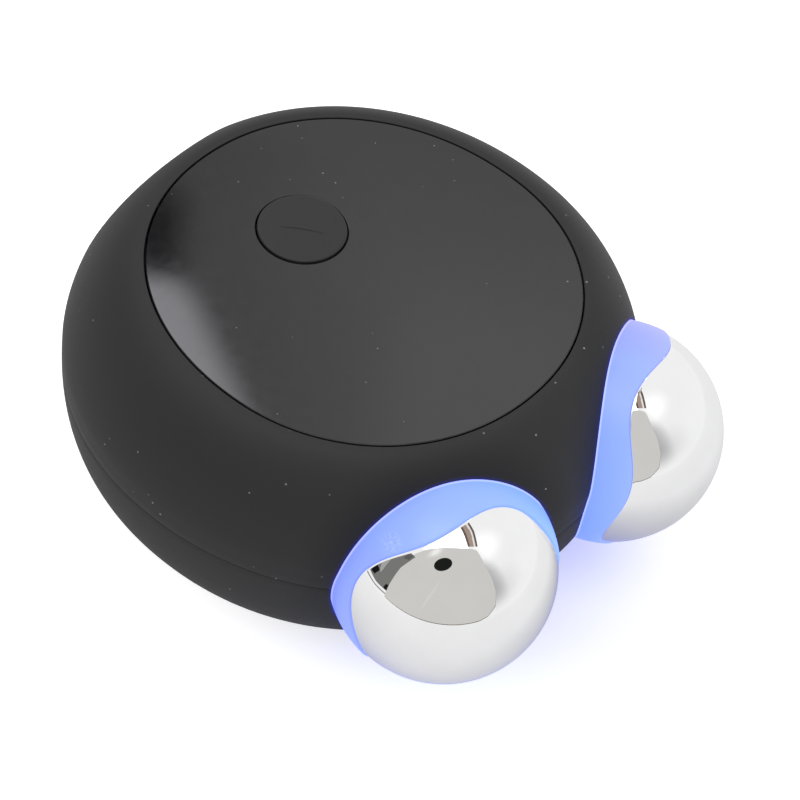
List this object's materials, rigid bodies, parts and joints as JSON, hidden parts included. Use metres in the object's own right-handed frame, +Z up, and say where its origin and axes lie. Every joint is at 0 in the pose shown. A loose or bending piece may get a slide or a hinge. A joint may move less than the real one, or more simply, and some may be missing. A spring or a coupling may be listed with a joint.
{
  "type": "facial toning device",
  "caption": "Palm-sized pebble body with a glossy round panel, one push button and two chrome electrode balls set in translucent light collars.",
  "frame": {"origin": "centre of the flat base, on the surface that the device stands on", "axes": "+Z up through the panel, the electrode balls towards -Y, +X to the right seen from behind the balls"},
  "size_m": [0.0623, 0.0682, 0.0315],
  "materials": {
    "soft_shell": "soft-touch matt",
    "silicone": "matt silicone",
    "steel": "brushed",
    "gloss_panel": "glossy",
    "adhesive": "double-sided tape",
    "button_cap": "satin",
    "chip": "moulded epoxy",
    "connector": "moulded nylon",
    "circuit_board": "solder mask",
    "coil": "ferrite",
    "cell_pouch": "laminated pouch",
    "foam": "foam tape",
    "wire": "insulated wire",
    "tongue": "moulded",
    "tungsten": "sintered",
    "light_collar": "frosted translucent",
    "chrome_ball": "mirror polished",
    "led": "diffused blue lamp",
    "bronze": "plated strip"
  },
  "bodies": {
    "housing": {"upper_shell": "soft_shell", "lower_shell": "soft_shell", "seam_seal": "silicone", "housing_screws": "steel", "top_panel": "gloss_panel", "panel_adhesive": "adhesive", "button_gasket": "silicone", "tact_switch": "chip", "main_board": "circuit_board", "board_screws": "steel", "controller_chip": "chip", "charger_chip": "chip", "boost_coil": "coil", "battery_connector": "connector", "battery_cell": "cell_pouch", "battery_pad": "foam", "battery_leads": "wire", "charge_socket": "steel", "charge_tongue": "tongue", "vibration_motor": "steel", "motor_sleeve": "silicone", "motor_leads": "wire", "right_light_collar": "light_collar", "right_electrode": "chrome_ball", "right_electrode_plate": "chrome_ball", "right_electrode_gasket": "silicone", "right_led_board": "circuit_board", "right_leds": "led", "right_electrode_screw": "steel", "right_contact_strip": "bronze", "right_led_leads": "wire", "left_light_collar": "light_collar", "left_electrode": "chrome_ball", "left_electrode_plate": "chrome_ball", "left_electrode_gasket": "silicone", "left_led_board": "circuit_board", "left_leds": "led", "left_electrode_screw": "steel", "left_contact_strip": "bronze", "left_led_leads": "wire"},
    "button": {"power_button": "button_cap", "switch_plunger": "connector"},
    "rotor": {"motor_shaft": "steel", "eccentric_weight": "tungsten"}
  },
  "joints": [
    {"name": "button_press", "type": "slide", "parent": "housing", "child": "button", "axis": [0, 0, -1], "range_m": [0, 0.00035], "stiffness_N_per_m": 6000},
    {"name": "motor_spin", "type": "hinge", "parent": "housing", "child": "rotor", "pos_m": [0.0072, -0.0136, 0.0079], "axis": [1, 0, 0], "continuous": true}
  ]
}
